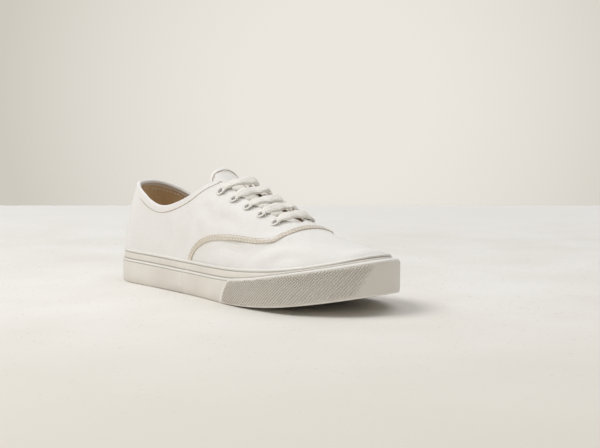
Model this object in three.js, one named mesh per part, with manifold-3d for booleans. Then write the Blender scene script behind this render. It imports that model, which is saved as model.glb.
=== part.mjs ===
// Low-top lace-up canvas sneaker on a cup of vulcanised rubber, for the right foot.
// Millimetres. +X runs to the toe, +Y to the inner side of the foot, +Z up; the origin is on the
// floor, under the middle of the sole. Inside this file x runs from the back of the heel (0) to
// the tip of the toe (length), and place() moves every point into the part's frame at the end.
import * as THREE from "three";
import { mergeVertices } from "three/addons/utils/BufferGeometryUtils.js";
import Module from "manifold-3d";

const wasm = await Module();
wasm.setup();

// ---- Driving sizes -------------------------------------------------------------------------

const LENGTH = 289; // of the sole, without the toe strip
const HEEL_RADIUS = 37; // of the round back end, seen from above
const TOE_REACH = 62; // length of the round front end
const TOE_ROUNDNESS = { lateral: 2.22, medial: 2.7 }; // superellipse power of each front quarter
const TOE_SWING = 3.75; // how far the tip lies to the inner side
const SWING_START = 120;
const SPRING = { start: 168, rise: 14.5, power: 1.9 }; // toe spring of the whole shoe
const CENTRE = { x: 145.05, y: 0.178 }; // brings the middle of the sole onto the origin

const WALL = 1.8; // canvas and its lining
const FEATHER = 9.3; // height of the upper's lower edge
const UPPER_INSET = 2.6; // from the sole's outline to the upper
const OUTSOLE = { top: 9.0, slab: 1.8, inset: 2.6 };
const FOXING = { foot: 0.2, chamfer: 0.6, band: 1.6, clear: 0.35 };
const BUMPER = { outer: -1.1, inner: -0.3, foot: 0.3, over: 0.4, rear: 168, rake: 19 };
const INSOLE = { top: 14, inset: 5.0, draft: 0.8 };
const EYELET = { count: 5, first: 136.3, pitch: 15.2, hole: 3.1, bore: 2.3, rim: 4.2 };
const EYELET_REACH = { first: 20, last: 17.8 }; // half the distance between the two rows
const LACE = { width: 7.6, thickness: 1.7, lift: 1.6, overhang: 1 };
const TONGUE = { top: 111, root: 214, lift: 3.6, thickness: 2.7, topHalf: 23, rootHalf: 16.5, corner: 20 };
const TONGUE_FLICK = { rise: 3.6, length: 17 }; // how the tongue's free end stands up
const THROAT = { rear: 102, front: 206, half: 11.5, nose: 17, corner: 0.03 };
const LUG = { length: 24, width: 15, pitchX: 31, pitchY: 19.5, margin: 8 };

// Half-widths of the sole's outline, left and right of its axis.
const soleRows = [
  { x: 0, lateral: 36.1, medial: 35.9 },
  { x: 45, lateral: 37.6, medial: 37.4 },
  { x: 90, lateral: 38.9, medial: 37.4 },
  { x: 130, lateral: 42.0, medial: 38.4 },
  { x: 165, lateral: 47.2, medial: 43.8 },
  { x: 200, lateral: 51.4, medial: 48.9 },
  { x: 235, lateral: 50.8, medial: 49.4 },
  { x: 262, lateral: 45.8, medial: 47.5 },
  { x: 289, lateral: 39.4, medial: 46.0 },
];
// Heights of the lower tape and of the whole rubber wall.
const wallRows = [
  { x: 0, tape: 20.2, wall: 28.3 },
  { x: 60, tape: 19.8, wall: 28.0 },
  { x: 115, tape: 19.2, wall: 27.4 },
  { x: 155, tape: 19.4, wall: 27.7 },
  { x: 182, tape: 20.3, wall: 28.3 },
  { x: 205, tape: 21.8, wall: 28.5 },
  { x: 225, tape: 23.4, wall: 28.6 },
  { x: 250, tape: 24.6, wall: 28.7 },
  { x: 272, tape: 25.1, wall: 29.6 },
  { x: 289, tape: 25.4, wall: 31.0 },
];
// The last: height of its top line, and the power of the superellipse on each side of it.
const lastRows = [
  { x: 0, ridge: 106, lateral: 2.2, medial: 2.2 },
  { x: 40, ridge: 107, lateral: 2.2, medial: 2.2 },
  { x: 80, ridge: 107, lateral: 2.15, medial: 2.2 },
  { x: 110, ridge: 101, lateral: 2.15, medial: 2.3 },
  { x: 136, ridge: 86.5, lateral: 2.7, medial: 2.7 },
  { x: 165, ridge: 74.5, lateral: 2.65, medial: 2.6 },
  { x: 182, ridge: 68.7, lateral: 2.4, medial: 2.4 },
  { x: 198, ridge: 63, lateral: 2.15, medial: 2.15 },
  { x: 225, ridge: 50.5, lateral: 2.3, medial: 2.2 },
  { x: 250, ridge: 41.8, lateral: 2.4, medial: 2.35 },
  { x: 270, ridge: 36, lateral: 2.4, medial: 2.4 },
  { x: 289, ridge: 34.5, lateral: 2.4, medial: 2.4 },
];
const TOE_NOSE = 15; // length over which the top line drops to the feather edge
// Height of the collar's edge, from the back of the heel to the top eyelet.
const collarRows = [
  { x: 2.6, lateral: 84.0, medial: 84.0 },
  { x: 12, lateral: 83.3, medial: 80.8 },
  { x: 24, lateral: 80.6, medial: 76.6 },
  { x: 38, lateral: 75.8, medial: 71.6 },
  { x: 52, lateral: 70.2, medial: 67.8 },
  { x: 66, lateral: 67.0, medial: 66.0 },
  { x: 78, lateral: 67.2, medial: 66.8 },
  { x: 92, lateral: 71.2, medial: 71.0 },
  { x: 106, lateral: 77.6, medial: 77.6 },
  { x: 120, lateral: 86.4, medial: 86.4 },
  { x: 134, lateral: 96, medial: 96 },
  { x: 150, lateral: 108, medial: 108 },
];
const HEEL_LEAN = { from: 28, over: 54, shift: 11, power: 1.5, fade: 70 };
const HEEL_BULGE = { depth: 2.2, height: 38, spread: 8 };

// ---- Curves that the tables give -----------------------------------------------------------

const clamp = THREE.MathUtils.clamp;
const SIDES = ["lateral", "medial"];
const sign = (side) => (side === "lateral" ? -1 : 1);

// A smooth curve through one column of a table (Hermite, finite-difference slopes).
function column(rows, key, x) {
  const last = rows.length - 1;
  const slope = (i) => {
    const a = rows[Math.max(i - 1, 0)];
    const b = rows[Math.min(i + 1, last)];
    return (b[key] - a[key]) / (b.x - a.x);
  };
  let i = rows.findIndex((row) => x <= row.x) - 1;
  i = clamp(x > rows[last].x ? last - 1 : i, 0, last - 1);
  const [a, b] = [rows[i], rows[i + 1]];
  const h = b.x - a.x;
  const t = (x - a.x) / h;
  const rise = (2 * t ** 3 - 3 * t ** 2 + 1) * a[key] + (3 * t ** 2 - 2 * t ** 3) * b[key];
  return rise + h * ((t ** 3 - 2 * t ** 2 + t) * slope(i) + (t ** 3 - t ** 2) * slope(i + 1));
}

const spring = (x) => {
  const t = Math.max((x - SPRING.start) / (LENGTH - SPRING.start), 0);
  return SPRING.rise * t ** SPRING.power;
};
const axisY = (x) => TOE_SWING * Math.max((x - SWING_START) / (LENGTH - SWING_START), 0) ** 2;

// Half-width of the sole's outline, moved inwards by inset, with its round ends.
function halfWidth(x, side, inset) {
  const heel = clamp((HEEL_RADIUS - x) / (HEEL_RADIUS - inset), 0, 1);
  const toe = clamp((x - (LENGTH - TOE_REACH)) / (TOE_REACH - inset), 0, 1);
  const ends = Math.sqrt(1 - heel ** 2) * Math.sqrt(1 - toe ** TOE_ROUNDNESS[side]);
  return Math.max(column(soleRows, side, x) - inset, 0) * ends;
}

// Height of the last's top line above the sprung floor; grow swells the whole form.
function ridge(x, grow) {
  const end = LENGTH - UPPER_INSET + grow;
  const nose = clamp((x - (end - TOE_NOSE)) / TOE_NOSE, 0, 1);
  return FEATHER + (column(lastRows, "ridge", x) + grow - FEATHER) * Math.sqrt(1 - nose ** 2);
}

// How far the heel's wall bulges back or leans forward at height z.
function heelShift(x, z) {
  const fade = clamp(1 - (x - UPPER_INSET) / HEEL_LEAN.fade, 0, 1) ** 2;
  const lean = Math.max((z - HEEL_LEAN.from) / HEEL_LEAN.over, 0) ** HEEL_LEAN.power;
  const bulge = Math.exp(-(((z - HEEL_BULGE.height) / HEEL_BULGE.spread) ** 2));
  return fade * (HEEL_LEAN.shift * lean - HEEL_BULGE.depth * bulge);
}

// Point of the last's surface, swollen by grow, at station x and local height z.
function lastPoint(x, side, z, grow = 0) {
  const power = column(lastRows, side, x);
  const height = Math.max(ridge(x, grow) - FEATHER, 1e-6);
  const q = clamp((z - FEATHER) / height, 0, 1);
  const y = halfWidth(x, side, UPPER_INSET - grow) * (1 - q ** power) ** (1 / power);
  return [x + heelShift(x, z), axisY(x) + sign(side) * y, z + spring(x)];
}

// Local height of the last's surface over a line y away from the axis.
function heightOver(x, side, y, grow = 0) {
  const power = column(lastRows, side, x);
  const reach = clamp(y / Math.max(halfWidth(x, side, UPPER_INSET - grow), 1e-6), 0, 1);
  return FEATHER + (ridge(x, grow) - FEATHER) * (1 - reach ** power) ** (1 / power);
}

// Point over the signed distance y from the axis, lateral negative.
function topPoint(x, y, grow = 0) {
  const side = y < 0 ? "lateral" : "medial";
  return lastPoint(x, side, heightOver(x, side, Math.abs(y), grow), grow);
}

function topNormal(x, y) {
  const step = 0.5;
  const at = (dx, dy) => new THREE.Vector3(...topPoint(x + dx, y + dy));
  const along = at(step, 0).sub(at(-step, 0));
  const across = at(0, step).sub(at(0, -step));
  return along.cross(across).normalize();
}

// ---- Solids from grids ---------------------------------------------------------------------

const place = ([x, y, z]) => [x - CENTRE.x, y - CENTRE.y, z];
const spaced = (n, from, to) => Array.from({ length: n + 1 }, (_, i) => from + ((to - from) * i) / n);
// Collects quads and triangles of points, drops the ones that a pole has collapsed, and turns
// the body right side out.
class Skin {
  constructor() {
    this.corners = [];
  }
  quad(a, b, c, d) {
    this.corners.push(a, b, c, a, c, d);
  }
  // Faces between two rows of points; rows may be closed loops.
  strip(lower, upper, closed = false) {
    const n = lower.length;
    for (let i = 0; i < (closed ? n : n - 1); i++) {
      const j = (i + 1) % n;
      this.quad(lower[i], lower[j], upper[j], upper[i]);
    }
  }
  solid() {
    const data = new Float32Array(this.corners.flatMap(place));
    const raw = new THREE.BufferGeometry().setAttribute("position", new THREE.BufferAttribute(data, 3));
    const merged = mergeVertices(raw, 1e-3);
    const source = merged.index.array;
    const faces = [];
    for (let i = 0; i < source.length; i += 3) {
      const [a, b, c] = source.subarray(i, i + 3);
      if (a !== b && b !== c && c !== a) faces.push(a, b, c);
    }
    const vertProperties = merged.attributes.position.array;
    const build = (order) =>
      new wasm.Manifold(new wasm.Mesh({ numProp: 3, vertProperties, triVerts: new Uint32Array(order) }));
    const body = build(faces);
    if (body.volume() > 0) return body;
    for (let i = 0; i < faces.length; i += 3) [faces[i + 1], faces[i + 2]] = [faces[i + 2], faces[i + 1]];
    return build(faces);
  }
}

// A closed body from two grids of points that face each other.
function shellSolid(outer, inner) {
  const skin = new Skin();
  for (let i = 0; i + 1 < outer.length; i++) {
    skin.strip(outer[i], outer[i + 1]);
    skin.strip(inner[i + 1], inner[i]);
  }
  const edge = (grid) => [
    ...grid[0],
    ...grid.slice(1).map((row) => row.at(-1)),
    ...grid.at(-1).slice(0, -1).reverse(),
    ...grid.slice(1, -1).map((row) => row[0]).reverse(),
  ];
  skin.strip(edge(inner), edge(outer), true);
  return skin.solid();
}

// A solid from a three.js geometry that is closed already.
function solidOf(geometry) {
  geometry.deleteAttribute("normal");
  geometry.deleteAttribute("uv");
  const merged = mergeVertices(geometry, 1e-3);
  return new wasm.Manifold(
    new wasm.Mesh({
      numProp: 3,
      vertProperties: merged.attributes.position.array,
      triVerts: new Uint32Array(merged.index.array),
    }),
  );
}

// Stations along the foot that every curved body shares, from the back of the heel to the tip
// of the toe: close together round the ends and at the front of the throat.
const COLLAR_END = 116;
const stations = [
  ...spaced(14, 0, Math.PI / 2).map((a) => UPPER_INSET + (COLLAR_END - UPPER_INSET) * (1 - Math.cos(a))),
  ...spaced(4, COLLAR_END + 4, COLLAR_END + 22),
  ...spaced(4, COLLAR_END + 32, THROAT.front - 19),
  ...[12, 7, 3.4, 1.2, 0].map((d) => THROAT.front - d),
  ...spaced(4, THROAT.front + 7, THROAT.front + 48),
  ...[26, 19.5, 14, 9.5, 5.8, 2.8, 0.8, 0].map((d) => LENGTH - UPPER_INSET - d),
];
// The same share of the way along a form that starts at inset instead of at the upper's heel.
const stationAt = (x, inset) =>
  inset + ((x - UPPER_INSET) * (LENGTH - 2 * inset)) / (LENGTH - 2 * UPPER_INSET);

// One item for each station round the shoe: along the lateral side to the toe and back.
const aroundShoe = (make) => [
  ...stations.map((x) => make(x, "lateral")),
  ...stations.slice(1, -1).reverse().map((x) => make(x, "medial")),
];

const heightAt = (z, x) => (typeof z === "function" ? z(x) : z) + spring(x);

// The sole's outline, moved inwards by inset, at local height z.
const soleLoop = (inset, z) =>
  aroundShoe((station, side) => {
    const x = stationAt(station, inset);
    return [x, axisY(x) + sign(side) * halfWidth(x, side, inset), heightAt(z, x)];
  });

// A solid through a pile of loops, each with one item for each station round the shoe.
function pileSolid(loops) {
  const skin = new Skin();
  for (let i = 0; i + 1 < loops.length; i++) skin.strip(loops[i], loops[i + 1], true);
  const n = loops[0].length;
  for (let i = 0; i < n / 2; i++) {
    const across = [i, i + 1, (n - i - 1) % n, (n - i) % n];
    skin.quad(...across.map((k) => loops.at(-1)[k]));
    skin.quad(...across.reverse().map((k) => loops[0][k]));
  }
  return skin.solid();
}

// Angles up the last's side, from the feather edge to the angle edge: half of the rows below the
// top of the rubber wall and half above it.
const ROWS = 4;
const ROW_SPLIT = 21;
function rowAngles(station, edge) {
  const height = Math.max(ridge(station, 0) - FEATHER, 1e-6);
  const split = Math.min(Math.asin(Math.min(ROW_SPLIT / height, 1)), 0.75 * edge);
  return [...spaced(ROWS, 0, split), ...spaced(ROWS, split, edge).slice(1)];
}

// Points up one side of the last, swollen by grow, at these angles.
function sideRun(station, side, angles, grow) {
  const x = stationAt(station, UPPER_INSET - grow);
  const height = ridge(x, grow) - FEATHER;
  return angles.map((angle) => lastPoint(x, side, FEATHER + height * Math.sin(angle), grow));
}

// The whole last, swollen by grow, closed over the top and carried straight down to height foot.
function lastSolid(grow, foot) {
  const runs = aroundShoe((station, side) =>
    sideRun(station, side, rowAngles(station, Math.PI / 2), grow),
  );
  const loops = spaced(2 * ROWS, 0, 2 * ROWS).map((k) => runs.map((run) => run[k]));
  const base = loops[0].map(([x, y]) => [x, y, foot + spring(x)]);
  return pileSolid([base, ...loops]);
}

// ---- Sole ----------------------------------------------------------------------------------

// One diamond lug of the tread, from the floor into the slab.
function lugSolid(x, y) {
  const corners = [
    [x - LUG.length / 2, y],
    [x, y - LUG.width / 2],
    [x + LUG.length / 2, y],
    [x, y + LUG.width / 2],
  ];
  return pileSolid([0, OUTSOLE.slab + 1].map((z) => corners.map(([u, v]) => [u, v, z + spring(u)])));
}

// Staggered rows of lugs, wherever a whole one fits inside the outline.
function lugCentres() {
  const centres = [];
  const perSide = Math.ceil(60 / LUG.pitchY);
  const count = Math.floor((2 * (LENGTH - 2 * LUG.margin)) / LUG.pitchX);
  for (let i = 0; i < count; i++) {
    const x = LUG.margin + LUG.length / 2 + (i * LUG.pitchX) / 2;
    for (let j = -perSide; j <= perSide; j++) {
      const y = (j + (i % 2) / 2) * LUG.pitchY;
      const side = y < 0 ? "lateral" : "medial";
      const room = [-0.5, 0, 0.5].map((end) => {
        const u = clamp(x + end * LUG.length, 0, LENGTH);
        const tip = end === 0 ? LUG.width / 2 : 1;
        return halfWidth(u, side, OUTSOLE.inset + 2) - Math.abs(y - axisY(u)) - tip;
      });
      if (Math.min(...room) > 0) centres.push([x, y]);
    }
  }
  return centres;
}

function outsoleSolid() {
  const { inset, slab, top } = OUTSOLE;
  const plate = pileSolid([soleLoop(inset, slab), soleLoop(inset, top)]);
  return lugCentres().reduce((body, [x, y]) => body.add(lugSolid(x, y)), plate);
}

const tapeTop = (x) => column(wallRows, "tape", clamp(x, 0, LENGTH));
const wallTop = (x) => column(wallRows, "wall", clamp(x, 0, LENGTH));

// The rubber wall: a thick lower tape with a thinner band above it, which follows the upper in.
function foxingSolid() {
  const { foot, chamfer, band, clear } = FOXING;
  const tapeBody = pileSolid([
    soleLoop(chamfer, foot),
    soleLoop(0, foot + chamfer),
    soleLoop(0, (x) => tapeTop(x) - chamfer),
    soleLoop(chamfer, tapeTop),
  ]);
  const bandRoom = pileSolid([soleLoop(-5, FEATHER), soleLoop(-5, wallTop)]);
  const bandBody = lastSolid(band, 0).intersect(bandRoom);
  return tapeBody.add(bandBody).subtract(lastSolid(clear, -5));
}

// The textured toe strip outside the tape, with rear ends that sweep forward as they rise.
function bumperSolid() {
  const { outer, inner, foot, over, rear, rake } = BUMPER;
  const crown = tapeTop(rear + rake);
  const side = new THREE.Shape();
  side.moveTo(LENGTH + 10, -10);
  side.lineTo(LENGTH + 10, 80);
  side.lineTo(rear + rake, 80);
  for (const s of spaced(8, 1, 0)) side.lineTo(rear + rake * (1 - Math.sqrt(1 - s ** 2)), s * crown);
  side.lineTo(rear, -10);
  const room = new THREE.ExtrudeGeometry(side, { depth: 200, bevelEnabled: false });
  room.rotateX(Math.PI / 2).translate(-CENTRE.x, 100, 0);
  return pileSolid([
    soleLoop(outer + 0.5, foot),
    soleLoop(outer, foot + 0.5),
    soleLoop(outer, (x) => tapeTop(x) + over - 0.5),
    soleLoop(outer + 0.5, (x) => tapeTop(x) + over),
  ])
    .subtract(pileSolid([soleLoop(inner, -5), soleLoop(inner, 60)]))
    .intersect(solidOf(room));
}

function insoleSolid() {
  const { top, inset, draft } = INSOLE;
  return pileSolid([soleLoop(inset, FEATHER), soleLoop(inset + draft, top)]);
}

// ---- Upper ---------------------------------------------------------------------------------

// Half the width of the throat between the eyelet rows, round at its front end.
function throatHalf(x) {
  const nose = clamp((x - (THROAT.front - THROAT.nose)) / THROAT.nose, 0, 1);
  return THROAT.half * Math.sqrt(1 - nose ** 2);
}

const softMin = (a, b, blend) => {
  const t = clamp(0.5 + (b - a) / (2 * blend), 0, 1);
  return b + (a - b) * t - blend * t * (1 - t);
};

// Share of the last's height, at station x, where the upper ends: at the collar, then round the
// corner by the top eyelet, along the throat, and past its front at the top line itself.
function edgeShare(x, side) {
  if (x >= THROAT.front) return 1;
  const height = ridge(x, 0) - FEATHER;
  const collar = (column(collarRows, side, x) - FEATHER) / height;
  const throat = (heightOver(x, side, throatHalf(x)) - FEATHER) / height;
  if (x < THROAT.rear) return collar;
  if (x > collarRows.at(-1).x) return throat;
  return softMin(collar, throat, THROAT.corner);
}

// A wall of the last from its feather edge to the collar and the throat, as a ring of columns.
function upperSolid() {
  const ring = aroundShoe((station, side) => {
    const angles = rowAngles(station, Math.asin(clamp(edgeShare(station, side), 0, 1)));
    return {
      station,
      outer: sideRun(station, side, angles, 0),
      inner: sideRun(station, side, angles, -WALL),
    };
  });
  const skin = new Skin();
  ring.forEach((a, i) => {
    const b = ring[(i + 1) % ring.length];
    skin.strip(b.outer, a.outer);
    skin.strip(a.inner, b.inner);
    skin.quad(a.outer[0], a.inner[0], b.inner[0], b.outer[0]);
    const open = Math.max(a.station, b.station) <= THROAT.front;
    if (open) skin.quad(b.outer.at(-1), b.inner.at(-1), a.inner.at(-1), a.outer.at(-1));
  });
  return eyeletSeats().reduce((body, seat) => body.subtract(drillSolid(seat)), skin.solid());
}

// A curved plate over the top of the last, between two swellings of it; rise lifts its middle.
function plateSolid(along, halfAt, low, high, steps, rise = () => 0) {
  const grid = (grow) =>
    along.map((x) =>
      spaced(steps, -1, 1).map((t) => topPoint(x, t * halfAt(x), grow + rise(x) * (1 - t * t))),
    );
  return shellSolid(grid(high), grid(low));
}

function tongueSolid() {
  const { top, root, lift, thickness, topHalf, rootHalf, corner } = TONGUE;
  const halfAt = (x) => {
    const width = topHalf + ((rootHalf - topHalf) * (x - top)) / (root - top);
    const round = clamp((top + corner - x) / corner, 0, 1);
    return width * (0.55 + 0.45 * Math.sqrt(1 - round ** 2));
  };
  const along = [0, 1.5, 5, 11, 20, 34, 49, 64, 80, root - top].map((d) => top + d);
  const { rise, length } = TONGUE_FLICK;
  const flick = (x) => rise * clamp(1 - (x - top) / length, 0, 1);
  return plateSolid(along, halfAt, -lift - thickness, -lift, 10, flick);
}

// ---- Eyelets and lace ----------------------------------------------------------------------

const lacePlaces = spaced(EYELET.count - 1, 0, 1).map((t, i) => ({
  x: EYELET.first + i * EYELET.pitch,
  reach: EYELET_REACH.first + t * (EYELET_REACH.last - EYELET_REACH.first),
}));

// Each eyelet's place and the way its axis points.
function eyeletSeats() {
  return SIDES.flatMap((side) =>
    lacePlaces.map(({ x, reach }, i) => {
      const y = sign(side) * reach;
      const turn = new THREE.Quaternion().setFromUnitVectors(new THREE.Vector3(0, 1, 0), topNormal(x, y));
      return { name: `eyelet_${side}_${i + 1}`, at: place(topPoint(x, y)), turn };
    }),
  );
}

// A body from a geometry with its axis on +Y, seated on the upper.
const seated = (geometry, { at, turn }) => solidOf(geometry.applyQuaternion(turn).translate(...at));

const drillSolid = (seat) => seated(new THREE.CylinderGeometry(EYELET.hole, EYELET.hole, 14, 10), seat);

// A rolled flange on the canvas and a barrel down through it.
function eyeletSolid(seat) {
  const { bore, rim } = EYELET;
  const barrel = bore + 0.5;
  const profile = [
    [bore, -2.1],
    [barrel, -2.1],
    [barrel, 0.35],
    [rim, 0.35],
    [rim - 0.6, 1.0],
    [bore, 0.7],
    [bore, -2.1],
  ].map(([r, h]) => new THREE.Vector2(r, h));
  return seated(new THREE.LatheGeometry(profile, 12), seat);
}

// One flat bar of the lace, arched over the tongue from eyelet to eyelet.
function laceBarSolid({ x, reach }) {
  const along = [-1, -0.6, 0.6, 1].map((t) => x + (t * LACE.width) / 2);
  const half = reach + LACE.overhang;
  return plateSolid(along, () => half, LACE.lift, LACE.lift + LACE.thickness, 8);
}

// ---- The assembly --------------------------------------------------------------------------

const finishes = {
  canvas: { color: 0xe9e6df, roughness: 0.9, metalness: 0 },
  rubber: { color: 0xd9d6cd, roughness: 0.5, metalness: 0 },
  footbed: { color: 0xc9a878, roughness: 0.85, metalness: 0 },
  cotton: { color: 0xebe9e2, roughness: 0.85, metalness: 0 },
  metal: { color: 0xe4e3de, roughness: 0.35, metalness: 0.6 },
};
const shoe = new THREE.Group();

function addPiece(name, finish, body) {
  const mesh = body.getMesh();
  const count = mesh.numVert;
  const positions = new Float32Array(count * 3);
  for (let i = 0; i < count; i++) {
    positions.set(mesh.vertProperties.subarray(i * mesh.numProp, i * mesh.numProp + 3), i * 3);
  }
  const geometry = new THREE.BufferGeometry();
  geometry.setAttribute("position", new THREE.BufferAttribute(positions, 3));
  geometry.setIndex(new THREE.BufferAttribute(mesh.triVerts, 1));
  const piece = new THREE.Mesh(geometry, new THREE.MeshStandardMaterial(finishes[finish]));
  piece.name = name;
  shoe.add(piece);
}

addPiece("outsole", "rubber", outsoleSolid());
addPiece("foxing", "rubber", foxingSolid());
addPiece("toe_bumper", "rubber", bumperSolid());
addPiece("insole", "footbed", insoleSolid());
addPiece("upper", "canvas", upperSolid());
addPiece("tongue", "canvas", tongueSolid());
for (const seat of eyeletSeats()) addPiece(seat.name, "metal", eyeletSolid(seat));
lacePlaces.forEach((spot, i) => addPiece(`lace_bar_${i + 1}`, "cotton", laceBarSolid(spot)));

export default shoe;
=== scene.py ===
import math

import bmesh
import bpy
import numpy as np
from mathutils import Matrix, Vector
from mathutils.kdtree import KDTree


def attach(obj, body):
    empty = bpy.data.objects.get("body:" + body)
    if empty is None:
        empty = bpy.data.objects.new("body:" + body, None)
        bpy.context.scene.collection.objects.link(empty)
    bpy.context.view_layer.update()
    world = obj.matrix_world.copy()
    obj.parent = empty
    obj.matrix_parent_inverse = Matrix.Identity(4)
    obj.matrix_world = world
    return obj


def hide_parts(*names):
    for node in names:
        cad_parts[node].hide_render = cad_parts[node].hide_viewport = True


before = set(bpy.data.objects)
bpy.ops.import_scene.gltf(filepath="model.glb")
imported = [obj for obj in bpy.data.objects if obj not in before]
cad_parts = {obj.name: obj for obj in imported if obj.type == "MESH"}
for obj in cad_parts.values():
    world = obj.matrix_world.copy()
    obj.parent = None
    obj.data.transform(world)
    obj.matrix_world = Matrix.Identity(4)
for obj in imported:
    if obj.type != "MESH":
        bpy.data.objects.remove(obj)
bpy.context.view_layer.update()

# ---- Sizes of the shoe ----

LENGTH = 289
HEEL_RADIUS = 37
TOE_REACH = 62
TOE_ROUNDNESS = {"lateral": 2.22, "medial": 2.7}
TOE_SWING = 3.75
SWING_START = 120
SPRING_START = 168
SPRING_RISE = 14.5
SPRING_POWER = 1.9
CENTRE = np.array([145.05, 0.178, 0])  # the frame's origin, in the shoe's own millimetres
WALL = 1.8  # of the CAD upper; canvas and lining come to 2.0
FEATHER = 9.3
INSET = 2.6  # from the sole's outline to the upper
TOE_NOSE = 15
CLOTH = 0.9  # the canvas alone; the lining lies inside it
TONGUE_TOP = 111
TONGUE_ROOT = 214
TONGUE_HALF = (23, 16.5)  # half-widths at its top and its root
TONGUE_CORNER = 20
TONGUE_DEPTH = (3.6, 4.6, 5.8)  # below the last: its face, its middle, its back
THROAT_REAR = 102
THROAT_FRONT = 206
THROAT_HALF = 11.5
THROAT_NOSE = 17
THROAT_STATIONS = [THROAT_FRONT - d for d in (5, 3.2, 1.8, 0.8, 0.2, 0)]
EYELET_COUNT = 5
EYELET_FIRST = 136.3
EYELET_PITCH = 15.2
EYELET_REACH = (20, 17.8)  # from the axis, at the top pair and at the lowest
EYELET_HOLE = 2.6  # radius
EYELET_BARREL = 3.2  # how deep the barrel goes, and each end of the lace in it
LACE_HALF = (1.1, 3.0)  # half-width at an eyelet, and what it gains between two


def table(names, *rows):
    """A table with named columns, one row for each section."""
    return dict(zip(names.split(), np.array(rows, float).T))


SOLE = table(
    "x lateral medial",
    (0, 36.1, 35.9), (45, 37.6, 37.4), (90, 38.9, 37.4), (130, 42.0, 38.4), (165, 47.2, 43.8),
    (200, 51.4, 48.9), (235, 50.8, 49.4), (262, 45.8, 47.5), (289, 39.4, 46.0),
)
RUBBER = table(
    "x tape wall",
    (0, 20.2, 28.3), (60, 19.8, 28.0), (115, 19.2, 27.4), (155, 19.4, 27.7), (182, 20.3, 28.3),
    (205, 21.8, 28.5), (225, 23.4, 28.6), (250, 24.6, 28.7), (272, 25.1, 29.6), (289, 25.4, 31.0),
)
LAST = table(
    "x ridge lateral medial",
    (0, 106, 2.2, 2.2), (40, 107, 2.2, 2.2), (80, 107, 2.15, 2.2), (110, 101, 2.15, 2.3),
    (136, 86.5, 2.7, 2.7), (165, 74.5, 2.65, 2.6), (182, 68.7, 2.4, 2.4), (198, 63, 2.15, 2.15),
    (225, 50.5, 2.3, 2.2), (250, 41.8, 2.4, 2.35), (270, 36, 2.4, 2.4), (289, 34.5, 2.4, 2.4),
)
COLLAR = table(
    "x lateral medial",
    (2.6, 84, 84), (12, 83.3, 80.8), (24, 80.6, 76.6), (38, 75.8, 71.6), (52, 70.2, 67.8),
    (66, 67, 66), (78, 67.2, 66.8), (92, 71.2, 71), (106, 77.6, 77.6), (120, 86.4, 86.4),
    (134, 96, 96), (150, 108, 108),
)
# The seam between quarter and vamp: up the side by height, then round the throat by width.
SEAM_SIDE = table(
    "x z",
    (116.5, 20), (118.7, 27.5), (120.6, 31.7), (124.5, 36.9), (128.6, 40.1), (135.4, 43.8),
    (146.1, 47.2), (158.8, 49.1), (170.4, 49.8), (181.1, 49.3), (191, 48.3), (197.5, 47.6),
    (204.1, 47.9),
)
SEAM_FRONT = table("x y", (209.2, 31.2), (212.1, 25.9), (213.7, 18.3), (214, 10.2), (214, 0))
CREASE_STRENGTH = 2.3
SLACK = 0.36
# Soft creases of the worn cloth, from one end to the other, on the side given by the sign.
CREASES = table(
    "side x0 z0 x1 z1 depth width",
    (-1, 124, 72, 148, 56, 0.55, 5.0),
    (-1, 108, 66, 122, 47, 0.45, 5.5),
    (-1, 150, 64, 176, 55, 0.45, 4.5),
    (-1, 84, 58, 96, 34, 0.30, 6.0),
    (-1, 42.5, 46, 47, 28, 0.22, 0.7),
    (-1, 50, 42, 52, 30, 0.18, 0.7),
    (-1, 158, 43, 196, 38, 0.55, 5.0),
    (-1, 196, 38, 226, 46, 0.50, 5.0),
    (-1, 222, 34, 246, 32, 0.35, 4.0),
    (1, 118, 68, 140, 54, 0.5, 5.0),
    (1, 150, 60, 178, 52, 0.45, 4.5),
    (1, 160, 43, 198, 38, 0.55, 5.0),
    (1, 198, 38, 226, 45, 0.45, 5.0),
    (1, 60, 52, 70, 34, 0.3, 6.0),
    (1, 44, 46, 47, 28, 0.2, 0.7),
)

# ---- The form of the last ----


def column(rows, key, x):
    """A smooth curve through one column of a table."""
    at, value = rows["x"], rows[key]
    last = len(at) - 1
    low = np.maximum(np.arange(last + 1) - 1, 0)
    high = np.minimum(np.arange(last + 1) + 1, last)
    slope = (value[high] - value[low]) / (at[high] - at[low])
    i = np.clip(np.searchsorted(at, x) - 1, 0, last - 1)
    h = at[i + 1] - at[i]
    t = (x - at[i]) / h
    rise = (2 * t**3 - 3 * t**2 + 1) * value[i] + (3 * t**2 - 2 * t**3) * value[i + 1]
    return rise + h * ((t**3 - 2 * t**2 + t) * slope[i] + (t**3 - t**2) * slope[i + 1])


def by_side(rows, x, side):
    return np.where(side < 0, column(rows, "lateral", x), column(rows, "medial", x))


def spring(x):
    t = np.maximum((x - SPRING_START) / (LENGTH - SPRING_START), 0)
    return SPRING_RISE * t**SPRING_POWER


def axis_y(x):
    return TOE_SWING * np.maximum((x - SWING_START) / (LENGTH - SWING_START), 0) ** 2


def half_width(x, side, inset):
    """Half-width of the sole's outline, moved inwards by inset, with its round ends."""
    heel = np.clip((HEEL_RADIUS - x) / (HEEL_RADIUS - inset), 0, 1)
    toe = np.clip((x - (LENGTH - TOE_REACH)) / (TOE_REACH - inset), 0, 1)
    power = np.where(side < 0, TOE_ROUNDNESS["lateral"], TOE_ROUNDNESS["medial"])
    ends = np.sqrt(1 - heel**2) * np.sqrt(np.maximum(1 - toe**power, 0))
    return np.maximum(by_side(SOLE, x, side) - inset, 0) * ends


def ridge(x, grow=0):
    nose = np.clip((x - (LENGTH - INSET + grow - TOE_NOSE)) / TOE_NOSE, 0, 1)
    return FEATHER + (column(LAST, "ridge", x) + grow - FEATHER) * np.sqrt(1 - nose**2)


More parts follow.
